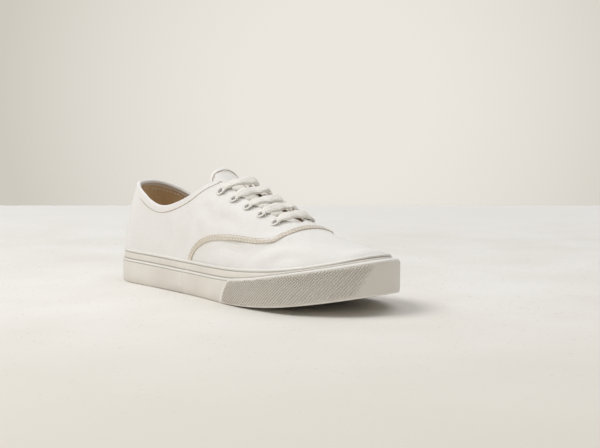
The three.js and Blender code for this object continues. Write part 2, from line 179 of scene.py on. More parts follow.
def heel_shift(x, z):
    fade = np.clip(1 - (x - INSET) / 70, 0, 1) ** 2
    lean = np.maximum((z - 28) / 54, 0) ** 1.5
    bulge = np.exp(-(((z - 38) / 8) ** 2))
    return fade * (11 * lean - 2.2 * bulge)


def last_point(x, side, z, grow=0):
    """Point of the last's surface, swollen by grow, at station x and height z above the feather."""
    x, side, z, grow = np.broadcast_arrays(*(np.asarray(v, float) for v in (x, side, z, grow)))
    power = by_side(LAST, x, side)
    height = np.maximum(ridge(x, grow) - FEATHER, 1e-6)
    q = np.clip((z - FEATHER) / height, 0, 1)
    y = half_width(x, side, INSET - grow) * np.maximum(1 - q**power, 0) ** (1 / power)
    return np.stack([x + heel_shift(x, z), axis_y(x) + side * y, z + spring(x)], -1)


def height_over(x, side, y, grow=0):
    power = by_side(LAST, x, side)
    reach = np.clip(y / np.maximum(half_width(x, side, INSET - grow), 1e-6), 0, 1)
    return FEATHER + (ridge(x, grow) - FEATHER) * (1 - reach**power) ** (1 / power)


def top_point(x, y, grow=0):
    """Point over the signed distance y from the axis."""
    x, y, grow = np.broadcast_arrays(*(np.asarray(v, float) for v in (x, y, grow)))
    side = np.where(y < 0, -1.0, 1.0)
    return last_point(x, side, height_over(x, side, np.abs(y), grow), grow)


def soft_step(t):
    t = np.clip(t, 0, 1)
    return t * t * (3 - 2 * t)


def edge_share(x, side):
    """Share of the last's height where the upper ends: collar, corner, throat, then top line."""
    height = np.maximum(ridge(x) - FEATHER, 1e-6)
    collar = (by_side(COLLAR, x, side) - FEATHER) / height
    nose = np.clip((x - (THROAT_FRONT - THROAT_NOSE)) / THROAT_NOSE, 0, 1)
    throat = (height_over(x, side, THROAT_HALF * np.sqrt(1 - nose**2)) - FEATHER) / height
    corner = 0.03
    t = np.clip(0.5 + (throat - collar) / (2 * corner), 0, 1)
    blended = throat + (collar - throat) * t - corner * t * (1 - t)
    share = np.where(x < THROAT_REAR, collar, np.where(x > COLLAR["x"][-1], throat, blended))
    return np.where(x >= THROAT_FRONT, 1.0, np.clip(share, 0, 1))


def station_at(x, inset):
    return inset + (x - INSET) * (LENGTH - 2 * inset) / (LENGTH - 2 * INSET)


def run_along(points, axis=0):
    """Length from the first point of a path, or of each line of a lattice."""
    steps = np.linalg.norm(np.diff(points, axis=axis), axis=-1)
    return np.cumsum(np.insert(steps, 0, 0, axis=axis), axis=axis)


def stations_round(step, extra=()):
    """Stations evenly spaced along the outline, with some extra ones."""
    dense = INSET + (LENGTH - 2 * INSET) * (1 - np.cos(np.linspace(0, math.pi, 3000))) / 2
    outline = np.stack([dense, half_width(dense, -1, INSET)], -1)
    run = run_along(outline)
    count = int(run[-1] / step)
    even = np.interp(np.linspace(0, run[-1], count + 1), run, dense)
    return np.unique(np.concatenate([even, extra]))


def ring_of(stations):
    """Station and side of each column round the shoe: lateral to the toe, then medial back."""
    x = np.concatenate([stations, stations[-2:0:-1]])
    side = np.concatenate([-np.ones(len(stations)), np.ones(len(stations) - 2)])
    return x, side


# ---- Meshes ----


def place(points):
    return (np.asarray(points, float).reshape(-1, 3) - CENTRE) / 1000


def lattice(rows, columns, first=0, wrap=False, backwards=False):
    """Quads of a lattice of points, numbered row by row from first."""
    i = np.arange(rows - 1)[:, None]
    j = np.arange(columns if wrap else columns - 1)[None, :]
    k = (j + 1) % columns
    low, high = i * columns, (i + 1) * columns
    quads = np.stack([low + j, low + k, high + k, high + j], -1).reshape(-1, 4) + first
    return quads[:, ::-1] if backwards else quads


def band(one, other):
    """Quads between two runs of point numbers."""
    one, other = np.asarray(one), np.asarray(other)
    return np.stack([one[:-1], one[1:], other[1:], other[:-1]], -1)


def linked(name, data):
    """An object of that data, in the scene."""
    item = bpy.data.objects.new(name, data)
    bpy.context.scene.collection.objects.link(item)
    return item


def settled(piece):
    """Turns what a piece's modifiers make into its plain mesh."""
    graph = bpy.context.evaluated_depsgraph_get()
    piece.data = bpy.data.meshes.new_from_object(piece.evaluated_get(graph))
    piece.modifiers.clear()
    return piece.data


def make(name, points, faces, material, uv=None, marks=None):
    """A mesh piece from points in the shoe's millimetres; doubles merged, faces outwards.

    marks are named numbers for each point, which the finish reads."""
    mesh = bpy.data.meshes.new(name)
    mesh.from_pydata(place(points).tolist(), [], [list(map(int, f)) for f in faces])
    if uv is not None:
        layer = mesh.uv_layers.new(name="cloth")
        corner = np.empty(len(mesh.loops), int)
        mesh.loops.foreach_get("vertex_index", corner)
        layer.data.foreach_set("uv", np.asarray(uv, float).reshape(-1, 2)[corner].ravel())
    for label, values in (marks or {}).items():
        mesh.attributes.new(label, "FLOAT", "POINT").data.foreach_set("value", np.ravel(values))
    body = bmesh.new()
    body.from_mesh(mesh)
    bmesh.ops.remove_doubles(body, verts=body.verts, dist=2e-6)
    bmesh.ops.dissolve_degenerate(body, edges=body.edges, dist=1e-7)
    if body.calc_volume(signed=True) < 0:
        bmesh.ops.reverse_faces(body, faces=body.faces)
    for face in body.faces:
        face.smooth = True
    body.to_mesh(mesh)
    body.free()
    mesh.materials.append(material)
    return linked(name, mesh)


def shell(outer, inner, wrap=False, open_top=None):
    """Points and quads of a closed body between two lattices; open_top says which top rims close."""
    rows, columns = outer.shape[:2]
    points = np.concatenate([outer.reshape(-1, 3), inner.reshape(-1, 3)])
    size = rows * columns
    grid = np.arange(size).reshape(rows, columns)
    if wrap:
        grid = np.concatenate([grid, grid[:, :1]], 1)
    faces = [lattice(rows, columns, 0, wrap), lattice(rows, columns, size, wrap, backwards=True)]
    faces.append(band(grid[0] + size, grid[0]))
    top = band(grid[-1], grid[-1] + size)
    faces.append(top if open_top is None else top[open_top])
    if not wrap:
        faces.append(band(grid[:, 0], grid[:, 0] + size))
        faces.append(band(grid[:, -1] + size, grid[:, -1]))
    return points, np.concatenate(faces)


def normals_of(points, wrap=False):
    """Outward normals of a lattice of points, by differences along its rows and columns."""
    if wrap:
        along = np.roll(points, -1, 1) - np.roll(points, 1, 1)
    else:
        along = np.gradient(points, axis=1)
    normal = np.cross(along, np.gradient(points, axis=0))
    size = np.linalg.norm(normal, axis=-1, keepdims=True)
    return normal / np.maximum(size, 1e-9)


def smooth_path(points, step):
    """A curve through points, resampled at even steps."""
    p = np.asarray(points, float)
    p = np.concatenate([[2 * p[0] - p[1]], p, [2 * p[-1] - p[-2]]])
    t = np.linspace(0, 1, 24, endpoint=False)[:, None]
    parts = []
    for a, b, c, d in zip(p[:-3], p[1:-2], p[2:-1], p[3:]):
        parts.append(
            0.5 * (2 * b + (c - a) * t + (2 * a - 5 * b + 4 * c - d) * t**2 + (3 * b - a - 3 * c + d) * t**3)
        )
    line = np.concatenate(parts + [p[-2:-1]])
    run = run_along(line)
    at = np.linspace(0, run[-1], max(int(run[-1] / step), 2) + 1)
    return np.stack([np.interp(at, run, line[:, k]) for k in range(line.shape[1])], -1)


def unit(v):
    return v / np.maximum(np.linalg.norm(v, axis=-1, keepdims=True), 1e-9)


def swept(path, up, profile):
    """Closed body of a profile of (across, up) points carried along a path, with its ends closed."""
    along = unit(np.gradient(path, axis=0))
    across = unit(np.cross(along, up))
    up = unit(np.cross(across, along))
    profile = np.broadcast_to(profile, (len(path), *np.shape(profile)[-2:]))
    points = path[:, None] + profile[..., :1] * across[:, None] + profile[..., 1:] * up[:, None]
    count = profile.shape[1]
    faces = [list(f) for f in lattice(len(path), count, 0, wrap=True)]
    faces.append(list(range(count)))
    faces.append(list(range((len(path) - 1) * count, len(path) * count))[::-1])
    uv = np.stack(np.broadcast_arrays(run_along(path)[:, None], run_along(profile[0])[None, :]), -1)
    return points.reshape(-1, 3), faces, uv


def near(points, path):
    """Distance from each point to a path, and the place along it of the nearest point."""
    distance = np.empty(len(points))
    nearest = np.empty(len(points), int)
    for start in range(0, len(points), 4000):
        part = points[start : start + 4000]
        gap = np.linalg.norm(part[:, None] - path[None], axis=2)
        nearest[start : start + 4000] = gap.argmin(1)
        distance[start : start + 4000] = gap.min(1)
    return distance, nearest


class Surface:
    """Points and normals of the finished canvas, on which seams, threads and metal are laid."""

    def __init__(self, points, normals):
        self.points = points.reshape(-1, 3)
        self.normals = normals.reshape(-1, 3)
        self.tree = KDTree(len(self.points))
        for i, p in enumerate(self.points):
            self.tree.insert(p, i)
        self.tree.balance()

    def lay(self, path, lift=0.0):
        """The path pressed onto the surface and raised by lift, with the normals there."""
        laid, ups = [], []
        for p in path:
            found = self.tree.find_n(p, 6)
            weight = np.array([1 / (hit[2] + 0.3) ** 2 for hit in found])
            weight /= weight.sum()
            index = [hit[1] for hit in found]
            up = unit(weight @ self.normals[index])
            centre = weight @ self.points[index]
            laid.append(p - up * np.dot(p - centre, up) + up * lift)
            ups.append(up)
        return np.array(laid), np.array(ups)


# ---- Finishes ----


def colour(hex_code):
    """Linear colour of an sRGB hex value."""
    parts = [int(hex_code[i : i + 2], 16) / 255 for i in (1, 3, 5)]
    return [c / 12.92 if c <= 0.04045 else ((c + 0.055) / 1.055) ** 2.4 for c in parts] + [1]


def add(tree, kind, inputs=None, **settings):
    """Adds a node with its settings; an input may be a value or the socket that feeds it."""
    node = tree.nodes.new(kind)
    for key, value in settings.items():
        setattr(node, key, value)
    for key, value in (inputs or {}).items():
        if isinstance(value, bpy.types.NodeSocket):
            tree.links.new(value, node.inputs[key])
        else:
            node.inputs[key].default_value = value
    return node


def new_material(name):
    material = bpy.data.materials.new(name)
    material.use_nodes = True
    tree = material.node_tree
    tree.nodes.clear()
    shader = add(tree, "ShaderNodeBsdfPrincipled")
    add(tree, "ShaderNodeOutputMaterial", {"Surface": shader.outputs["BSDF"]})
    return material, tree, shader


def toned(tree, base, layers):
    """Colour of base under layers, each as strong as its value's place between two limits.

    A layer is (value, low, high, least, most, colour): its share goes from least to most."""
    shade = add(tree, "ShaderNodeRGB").outputs[0]
    shade.default_value = colour(base)
    for value, low, high, least, most, code in layers:
        limits = {"Value": value, "From Min": low, "From Max": high, "To Min": least, "To Max": most}
        share = add(tree, "ShaderNodeMapRange", limits).outputs["Result"]
        tone = add(tree, "ShaderNodeMix", {"Factor": share}, data_type="RGBA")
        under, over = (socket for socket in tone.inputs if socket.type == "RGBA")
        tree.links.new(shade, under)
        over.default_value = colour(code)
        shade = next(socket for socket in tone.outputs if socket.type == "RGBA")
    return shade


def woven(name, light, dark, thread, relief, sheen=0.2):
    """Plain-woven cotton: crossing threads, slubs, and a slow drift of shade, in cloth millimetres."""
    material, tree, shader = new_material(name)
    cloth = add(tree, "ShaderNodeUVMap", uv_map="cloth").outputs["UV"]
    solid = add(tree, "ShaderNodeTexCoord").outputs["Object"]
    axes = add(tree, "ShaderNodeSeparateXYZ", {"Vector": cloth})
    threads = []
    for axis in "XY":
        turn = {0: axes.outputs[axis], 1: math.pi / thread}
        turn = add(tree, "ShaderNodeMath", turn, operation="MULTIPLY").outputs[0]
        threads.append(add(tree, "ShaderNodeMath", {0: turn}, operation="SINE").outputs[0])
    weave = add(tree, "ShaderNodeMath", {0: threads[0], 1: threads[1]}, operation="MULTIPLY").outputs[0]
    slubs = []
    for stretch in ((0.12, 1.1, 1), (1.1, 0.12, 1)):
        run = add(tree, "ShaderNodeMapping", {"Vector": cloth, "Scale": stretch}).outputs["Vector"]
        uneven = {"Vector": run, "Scale": 0.8, "Detail": 2}
        slubs.append(add(tree, "ShaderNodeTexNoise", uneven).outputs["Fac"])
    slub = add(tree, "ShaderNodeMath", {0: slubs[0], 1: slubs[1]}, operation="ADD").outputs[0]
    drift = add(tree, "ShaderNodeTexNoise", {"Vector": solid, "Scale": 28, "Detail": 4}).outputs["Fac"]
    mixed = add(tree, "ShaderNodeMath", {0: slub, 1: 0.5, 2: drift}, operation="MULTIPLY_ADD").outputs[0]
    shade = toned(tree, dark, [(mixed, 0.75, 1.25, 0.15, 0.85, light)])
    height = add(tree, "ShaderNodeMath", {0: slub, 1: 0.8, 2: weave}, operation="MULTIPLY_ADD").outputs[0]
    bump = add(tree, "ShaderNodeBump", {"Height": height, "Strength": relief, "Distance": 0.0002})
    tree.links.new(shade, shader.inputs["Base Color"])
    tree.links.new(bump.outputs["Normal"], shader.inputs["Normal"])
    shader.inputs["Roughness"].default_value = 0.88
    shader.inputs["Sheen Weight"].default_value = sheen
    shader.inputs["Sheen Roughness"].default_value = 0.5
    shader.inputs["Specular IOR Level"].default_value = 0.25
    return material


def moulded(name, light, dark, roughness, grain, relief):
    """Pressed rubber: matt, slightly uneven in shade, with a faint grain from the mould.

    Where the light mark is 1 a raised edge gets a painted highlight, and where it is -1 a
    groove gets painted shade."""
    material, tree, shader = new_material(name)
    solid = add(tree, "ShaderNodeTexCoord").outputs["Object"]
    drift = add(tree, "ShaderNodeTexNoise", {"Vector": solid, "Scale": 22, "Detail": 5}).outputs["Fac"]
    painted_light = add(tree, "ShaderNodeAttribute", attribute_name="painted_light").outputs["Fac"]
    # f3f0e9 is a painted highlight on raised edges and #a39c8e painted shade in grooves, both set by the
    # light mark.
    shade = toned(tree, dark, [
        (drift, 0.35, 0.65, 0, 1, light),
        (painted_light, 0, 1, 0, 0.9, "#f3f0e9"),
        (painted_light, 0, -1, 0, 0.9, "#a39c8e"),
    ])
    pores = {"Vector": solid, "Scale": 1000 / grain, "Detail": 3}
    pits = add(tree, "ShaderNodeTexNoise", pores).outputs["Fac"]
    bump = add(tree, "ShaderNodeBump", {"Height": pits, "Strength": relief, "Distance": 0.0003})
    gloss = add(
        tree, "ShaderNodeMapRange", {"Value": drift, "To Min": roughness - 0.06, "To Max": roughness + 0.06}
    )
    tree.links.new(shade, shader.inputs["Base Color"])
    tree.links.new(gloss.outputs["Result"], shader.inputs["Roughness"])
    tree.links.new(bump.outputs["Normal"], shader.inputs["Normal"])
    return material


# Cotton canvas of about 10 oz, plain weave, off-white: matt, with a fine even grain. Its threads
# are 0.5 mm; they are drawn at 0.8 mm, or they would be too fine to show.
CANVAS = woven("canvas_cotton", "#f8f5f0", "#eeeae3", 0.8, 0.35)
# The same canvas folded into a narrow tape: denser, a touch lighter on its rounded edge.
BINDING = woven("binding_cotton", "#f8f5f0", "#eee9e2", 0.7, 0.3)
# Twill tape over the seam, unbleached: beige against the canvas.
SEAM_TAPE = woven("seam_tape_cotton", "#e6dccd", "#d6cab7", 0.6, 0.35)
# Brushed cotton drill lining, tan: soft and darker than the canvas.
LINING = woven("lining_drill", "#ecd0a4", "#d6b88c", 0.8, 0.35, sheen=0.3)
# Cotton terry over foam, tan, flattened by wear.
FOOTBED = woven("footbed_terry", "#cbae86", "#b5966d", 1.0, 0.5, sheen=0.3)
# Flat braided cotton lace: bright, with a slanting braid that the weave stands for.
LACE = woven("lace_braid", "#fffcf4", "#f4eee2", 0.6, 0.5, sheen=0.25)
# Cotton sewing thread, twisted and slightly glossy: white; the tan and brown ones are painted shade, dark
# thread where a shadow gap lies beside a binding.
THREAD = woven("thread_white", "#fffcf6", "#f2ece0", 0.4, 0.2)
THREAD_TAN_SHADE = woven("thread_tan_shade", "#c9b596", "#ad9877", 0.4, 0.2)
THREAD_BROWN_SHADE = woven("thread_brown_shade", "#b39a78", "#94795a", 0.4, 0.2)
# Vulcanised rubber, off-white, pressed between smooth plates: soft sheen, slightly uneven shade.
SOLE_RUBBER = moulded("sole_rubber", "#efe9df", "#e5ded3", 0.48, 1.6, 0.12)
# The toe strip is a paler compound with a matt moulded pattern, with a painted highlight on its border and
# crests and painted shade in its hollows.
TOE_RUBBER = moulded("toe_strip_rubber", "#f5efe5", "#ece5d9", 0.55, 1.2, 0.15)
# Gum-white tread rubber, matt from the floor.
TREAD_RUBBER = moulded("tread_rubber", "#d2ccbf", "#c2bbad", 0.65, 1.0, 0.25)


def enamelled_eyelet():
    """Stamped aluminium eyelet, baked white enamel: smooth, glossy, a hard bright rim."""
    material, tree, shader = new_material("eyelet_enamel")
    solid = add(tree, "ShaderNodeTexCoord").outputs["Object"]
    wear = add(tree, "ShaderNodeTexNoise", {"Vector": solid, "Scale": 900, "Detail": 2}).outputs["Fac"]
    gloss = add(tree, "ShaderNodeMapRange", {"Value": wear, "To Min": 0.22, "To Max": 0.42})
    tree.links.new(gloss.outputs["Result"], shader.inputs["Roughness"])
    shader.inputs["Base Color"].default_value = colour("#eeebe4")
    shader.inputs["Coat Weight"].default_value = 0.3
    return material


ENAMEL = enamelled_eyelet()

# ---- Geometry nodes ----


def new_tree(name, inputs):
    tree = bpy.data.node_groups.new(name, "GeometryNodeTree")
    tree.interface.new_socket("Geometry", in_out="INPUT", socket_type="NodeSocketGeometry")
    for label, kind in [*inputs, ("Material", "NodeSocketMaterial")]:
        tree.interface.new_socket(label, in_out="INPUT", socket_type=kind)
    tree.interface.new_socket("Geometry", in_out="OUTPUT", socket_type="NodeSocketGeometry")
    return tree, add(tree, "NodeGroupInput").outputs


def close_tree(tree, points, shape, turn, size, material):
    """Sets the shape on every point, as plain smooth faces of the material."""
    spots = {"Points": points, "Instance": shape, "Rotation": turn, "Scale": size}
    instances = add(tree, "GeometryNodeInstanceOnPoints", spots).outputs[0]
    real = add(tree, "GeometryNodeRealizeInstances", {"Geometry": instances}).outputs[0]
    smooth = add(tree, "GeometryNodeSetShadeSmooth", {"Geometry": real}).outputs[0]
    made = add(tree, "GeometryNodeSetMaterial", {"Geometry": smooth, "Material": material}).outputs[0]
    add(tree, "NodeGroupOutput", {"Geometry": made})


def laid_turn(tree, heading, up):
    """Rotation that points X along heading and Z as near to up as it can."""
    first = add(tree, "FunctionNodeAlignRotationToVector", {"Vector": heading}, axis="X")
    return add(
        tree, "FunctionNodeAlignRotationToVector", {"Rotation": first.outputs[0], "Vector": up},
        axis="Z", pivot_axis="X",
    ).outputs[0]


def stitch_tree():
    """Evenly spaced stitches along every line of the mesh."""
    sizes = [("Pitch", "NodeSocketFloat"), ("Length", "NodeSocketFloat"), ("Width", "NodeSocketFloat")]
    tree, given = new_tree("sewn_stitches", sizes)
    line = add(tree, "GeometryNodeMeshToCurve", {"Mesh": given["Geometry"]}).outputs[0]
    even = add(tree, "GeometryNodeResampleCurve", {"Curve": line, "Length": given["Pitch"]}, mode="LENGTH")
    up = add(tree, "GeometryNodeInputNamedAttribute", {"Name": "up"}, data_type="FLOAT_VECTOR")
    turn = laid_turn(tree, add(tree, "GeometryNodeInputTangent").outputs[0], up.outputs[0])
    shape = add(tree, "GeometryNodeMeshIcoSphere", {"Radius": 0.5, "Subdivisions": 2}).outputs["Mesh"]
    across = {"X": given["Length"], "Y": given["Width"], "Z": given["Width"]}
    size = add(tree, "ShaderNodeCombineXYZ", across).outputs[0]
    close_tree(tree, even.outputs[0], shape, turn, size, given["Material"])
    return tree


def seating_tree():
    """A shape set on every point of the mesh, turned by its heading and up."""
    tree, given = new_tree("seated_shapes", [("Shape", "NodeSocketObject")])
    heading, up, size = (
        add(tree, "GeometryNodeInputNamedAttribute", {"Name": label}, data_type="FLOAT_VECTOR").outputs[0]
        for label in ("heading", "up", "size")
    )
    shape = add(tree, "GeometryNodeObjectInfo", {"Object": given["Shape"]}).outputs["Geometry"]
    turn = laid_turn(tree, heading, up)
    close_tree(tree, given["Geometry"], shape, turn, size, given["Material"])
    return tree


STITCHES = stitch_tree()
SEATING = seating_tree()


def grown(name, points, lines, vectors, tree, inputs):
    """A piece that a node tree makes from points, turned into a plain mesh."""
    mesh = bpy.data.meshes.new(name)
    mesh.from_pydata(place(points).tolist(), lines, [])
    for label, values in vectors.items():
        mesh.attributes.new(label, "FLOAT_VECTOR", "POINT").data.foreach_set("vector", np.ravel(values))
    piece = linked(name, mesh)
    live = piece.modifiers.new("grow", "NODES")
    live.node_group = tree
    sockets = {s.name: s.identifier for s in tree.interface.items_tree if s.in_out == "INPUT"}
    for label, value in inputs.items():
        live[sockets[label]] = value
    plain = settled(piece)
    plain.materials.clear()
    plain.materials.append(inputs["Material"])
    plain.polygons.foreach_set("material_index", [0] * len(plain.polygons))
    return piece


def sew(name, rows, pitch, length, width, thread):
    """Rows of stitches; each row is a path with its normals."""
    points, ups, lines = [], [], []
    for path, up in rows:
        first = len(points)
        points.extend(path)
        ups.extend(up)
        lines.extend((first + i, first + i + 1) for i in range(len(path) - 1))
    inputs = {"Pitch": pitch / 1000, "Length": length / 1000, "Width": width / 1000, "Material": thread}
    return grown(name, np.array(points), lines, {"up": np.array(ups)}, STITCHES, inputs)


def seat(name, shape, points, heading, up, size, material):
    vectors = {"heading": heading, "up": up, "size": size}
    piece = grown(name, points, [], vectors, SEATING, {"Shape": shape, "Material": material})
    bpy.data.objects.remove(shape)
    return piece


def keep(piece, slot, *nodes):
    """Lets a finished piece ride on the shoe and stand for CAD nodes; its slot is not used."""
    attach(piece, "root")
    if nodes:
        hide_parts(*nodes)


# ---- Canvas upper ----


def seam_path():
    """The seam from the lateral rubber, round the front of the throat, to the medial rubber."""
    side = last_point(SEAM_SIDE["x"], -1, SEAM_SIDE["z"])
    front = top_point(SEAM_FRONT["x"], -SEAM_FRONT["y"])
    other = top_point(SEAM_FRONT["x"], SEAM_FRONT["y"])[-2::-1]
    inner = last_point(SEAM_SIDE["x"], 1, SEAM_SIDE["z"])[::-1]
    return smooth_path(np.concatenate([side, front, other, inner]), 0.5)


def canvas_relief(points, normals, x, side, angle):
    """How far the cloth stands off the last: panels, seam puckers, creases and slack."""
    seam = seam_path()
    flat = points.reshape(-1, 3)
    gap, nearest = near(flat, seam)
    heading = unit(np.gradient(seam, axis=0))[nearest]
    left = np.einsum("ij,ij->i", np.cross(normals.reshape(-1, 3), heading), flat - seam[nearest])
    signed = (gap * np.sign(left)).reshape(x.shape)
    relief = 0.55 * soft_step((signed + 0.5) / 1.0)
    pucker = np.sin(nearest * 0.5 * 2 * math.pi / 5.5).reshape(x.shape)
    relief += 0.09 * pucker * np.exp(-((np.abs(signed) / 3.5) ** 2))
    for row in zip(*CREASES.values()):
        hand, x0, z0, x1, z1, depth, width = row
        steps = np.linspace(0, 1, 40)
        bend = 2.5 * np.sin(steps * math.pi)
        line = last_point(x0 + (x1 - x0) * steps, hand, z0 + (z1 - z0) * steps + bend)
        away, place_on = near(flat, line)
        share = np.sin(np.clip(steps[place_on], 0.02, 0.98) * math.pi) ** 0.7
        trough = np.exp(-((away / width) ** 2)) - 0.55 * np.exp(-(((away - 1.9 * width) / width) ** 2))
        relief -= (CREASE_STRENGTH * depth * share * trough).reshape(x.shape)
    slack = np.sin(x / 13.0 + 1.2 * side) * np.sin(2.6 * angle + x / 31.0)
    slack += 0.6 * np.sin(x / 7.3 + 2.0 * angle) * np.sin(4.1 * angle - x / 19.0)
    calm = soft_step((angle - 0.25) / 0.3) * soft_step((math.pi / 2 - angle) / 0.45)
    return relief + SLACK * slack * calm


def last_grid(x, side, angle, grow):
    """Lattice over the last, swollen by grow, at angles from the feather up to the ridge."""
    at = station_at(x, INSET - grow)
    rise = (ridge(at, grow) - FEATHER) * np.sin(angle)
    return last_point(np.broadcast_to(at, angle.shape), side, FEATHER + rise, grow)


def round_piece(name, x, outer, inner, material):
    """A closed shell round the shoe whose top rim ends at the throat's front."""
    ahead = np.maximum(x, np.roll(x, -1))
    points, faces = shell(outer, inner, wrap=True, open_top=ahead <= THROAT_FRONT)
    uv = np.stack([np.broadcast_to(x, outer.shape[:2]), run_along(outer)], -1).reshape(-1, 2)
    return make(name, points, faces, material, np.concatenate([uv, uv]))


def canvas_upper():
    """Canvas upper as one hollow shell, and the surface on which everything else is laid."""
    stations = stations_round(1.55, THROAT_STATIONS)
    x, side = ring_of(stations)
    rows = 66
    height = np.maximum(ridge(x) - FEATHER, 1e-6)
    low = np.arcsin(np.minimum(12.5 / height, 0.8))
    high = np.arcsin(np.clip(edge_share(x, side), 0, 1))
    low = np.minimum(low, 0.8 * high)
    angle = low + (high - low) * np.linspace(0, 1, rows)[:, None]
    outer, inner = (last_grid(x, side, angle, grow) for grow in (0, -CLOTH))
    normals = -normals_of(outer, wrap=True)
    centre = np.array([145, 0, 40])
    facing = np.einsum("ijk,ijk->ij", normals, outer - centre)
    normals = np.where(np.median(facing) < 0, -normals, normals)
    spread = np.broadcast_to(x, angle.shape)
    relief = canvas_relief(outer, normals, spread, np.broadcast_to(side, angle.shape), angle)
    relief *= soft_step((LENGTH - INSET - spread) / 6)
    outer = outer + normals * relief[..., None]
    keep(round_piece("canvas_upper", x, outer, inner, CANVAS), "canvas", "upper")
    return Surface(outer, normals)


def lining():
    """Drill lining inside the canvas, from the sock liner up to the collar and the throat."""
    stations = stations_round(3.2, THROAT_STATIONS)
    x, side = ring_of(stations)
    height = np.maximum(ridge(x) - FEATHER, 1e-6)
    high = np.arcsin(np.clip(edge_share(x, side), 0, 1))
    high = high - 0.10 * soft_step((x - 112) / 14) * (x < THROAT_FRONT)
    low = np.minimum(np.arcsin(np.minimum(1.5 / height, 0.5)), 0.5 * high)
    angle = low + (high - low) * np.linspace(0, 1, 26)[:, None]
    outer, inner = (last_grid(x, side, angle, grow) for grow in (-CLOTH - 0.1, -WALL - 0.2))
    keep(round_piece("lining", x, outer, inner, LINING), "footbed")


def rim_path(front, drop=0.0, grow=0.0):
    """The collar's edge from the lateral throat corner, round the heel, to the medial corner."""
    heel = 37.4 * (1 - np.sin(np.linspace(0.02, math.pi / 2, 40)))
    x = np.concatenate([np.linspace(front, 40, 60), INSET + heel])
    runs = []
    for side in (-1, 1):
        height = ridge(x) - FEATHER
        z = FEATHER + edge_share(x, np.full_like(x, side)) * height - drop
        runs.append(last_point(x, side, z, grow))
    return smooth_path(np.concatenate([runs[0], runs[1][-2::-1]]), 1.5)


def outward(path):
    """Sideways direction away from the middle of the foot, square to the path."""
    along = unit(np.gradient(path, axis=0))
    middle = np.array([75.0, 0.0, 0.0])
    away = path - middle
    away[:, 0] = np.where(path[:, 0] > 75, 0, away[:, 0])
    away[:, 2] = 0
    away = unit(away)
    return unit(away - along * np.einsum("ij,ij->i", away, along)[:, None])


def collar_binding(canvas):
    """Folded canvas tape over the collar's edge, with its seam line on the outside."""
    path = rim_path(137)
    fold = [
        (-3.9, -0.4), (-0.6, -0.9), (-2.4, -1.2), (-2.5, -2.1), (-2.2, -2.5), (-1.2, -2.6), (-0.2, -2.5),
        (0.8, -2.0), (1.1, -0.9), (0.7, 0.3), (-0.2, 0.95), (-1.6, 1.1), (-3.2, 1.1), (-4.5, 0.95),
        (-4.9, 0.3),
    ]
    points, faces, uv = swept(path, outward(path), fold)
    keep(make("collar_binding", points, faces, BINDING, uv), "canvas")
    rim = rim_path(129)
    below = unit(np.cross(outward(rim), unit(np.gradient(rim, axis=0))))
    line, up = canvas.lay(rim + below * 5.1, 0.2)
    front, fading = 42, 66
    # Real stitches, but brown in front and tan at the sides as a painted shadow line under the binding,
    # fading to white at the back.
    parts = {
        "collar_seam_front": (THREAD_BROWN_SHADE, [slice(0, front), slice(-front, None)]),
        "collar_seam_side": (THREAD_TAN_SHADE, [slice(front, fading), slice(-fading, -front)]),
        "collar_seam_back": (THREAD, [slice(fading, -fading)]),
    }
    for name, (thread, runs) in parts.items():
        keep(sew(name, [(line[k], up[k]) for k in runs], 1.6, 1.5, 0.5, thread), "canvas")
    inside = rim_path(120, drop=6.5, grow=-WALL - 0.4)
    keep(sew("lining_stitches", [(inside, -outward(inside))], 3.4, 2.3, 0.7, THREAD), "footbed")


surface = canvas_upper()
lining()
collar_binding(surface)

# ---- Seam ----


def seam_work(canvas):
    """Twill tape over the seam, its raised edge, and two rows of stitches."""
    path, up = canvas.lay(seam_path()[::2], 0.0)
    tape = [
        (-2.3, -0.5), (-2.3, 0.6), (-2.0, 0.85), (-1.7, 0.75), (-1.35, 0.15), (-1.0, 0.5), (0, 0.55),
        (1.0, 0.5), (1.35, 0.15), (1.7, 0.65), (1.9, 0.7), (2.2, 0.45), (2.2, -0.5),
    ]
    points, faces, uv = swept(path, up, tape)
    keep(make("seam_tape", points, faces, SEAM_TAPE, uv), "canvas")
    across = unit(np.cross(unit(np.gradient(path, axis=0)), up))
    rows = [(path + across * off + up * 0.4, up) for off in (-1.35, 1.35)]
    keep(sew("seam_stitches", rows, 3.1, 1.9, 0.95, THREAD), "canvas")


seam_work(surface)

# ---- Rubber wall ----


def sole_loop(x, side, inset, z):
    at = station_at(x, inset)
    y = half_width(at, side, inset)
    return np.stack([at, axis_y(at) + side * y, z + spring(at)], -1)


def wall_loop(x, side, grow, z):
    """Loop on the last's surface; at the toe it turns back to where the last is that high."""
    at = station_at(x, INSET - grow)
    foremost = np.argmax(x)
    swell = np.broadcast_to(grow, x.shape)[foremost]
    end = LENGTH - INSET + swell
    nose = np.linspace(end - TOE_NOSE, end, 400)
    tip = np.interp(-z[foremost], -ridge(nose, swell), nose)
    front = end - 55
    at = np.where(at > front, front + (at - front) * (tip - front) / (end - front), at)
    return last_point(at, side, z, grow)


def toe_round(x, below):
    """How far the tape's upper edge is rounded off at the front of the toe."""
    share = np.clip(1 - below / 4.5, 0, 1)
    return 2.3 * soft_step((x - 238) / 48) * (1 - np.sqrt(1 - share**2))


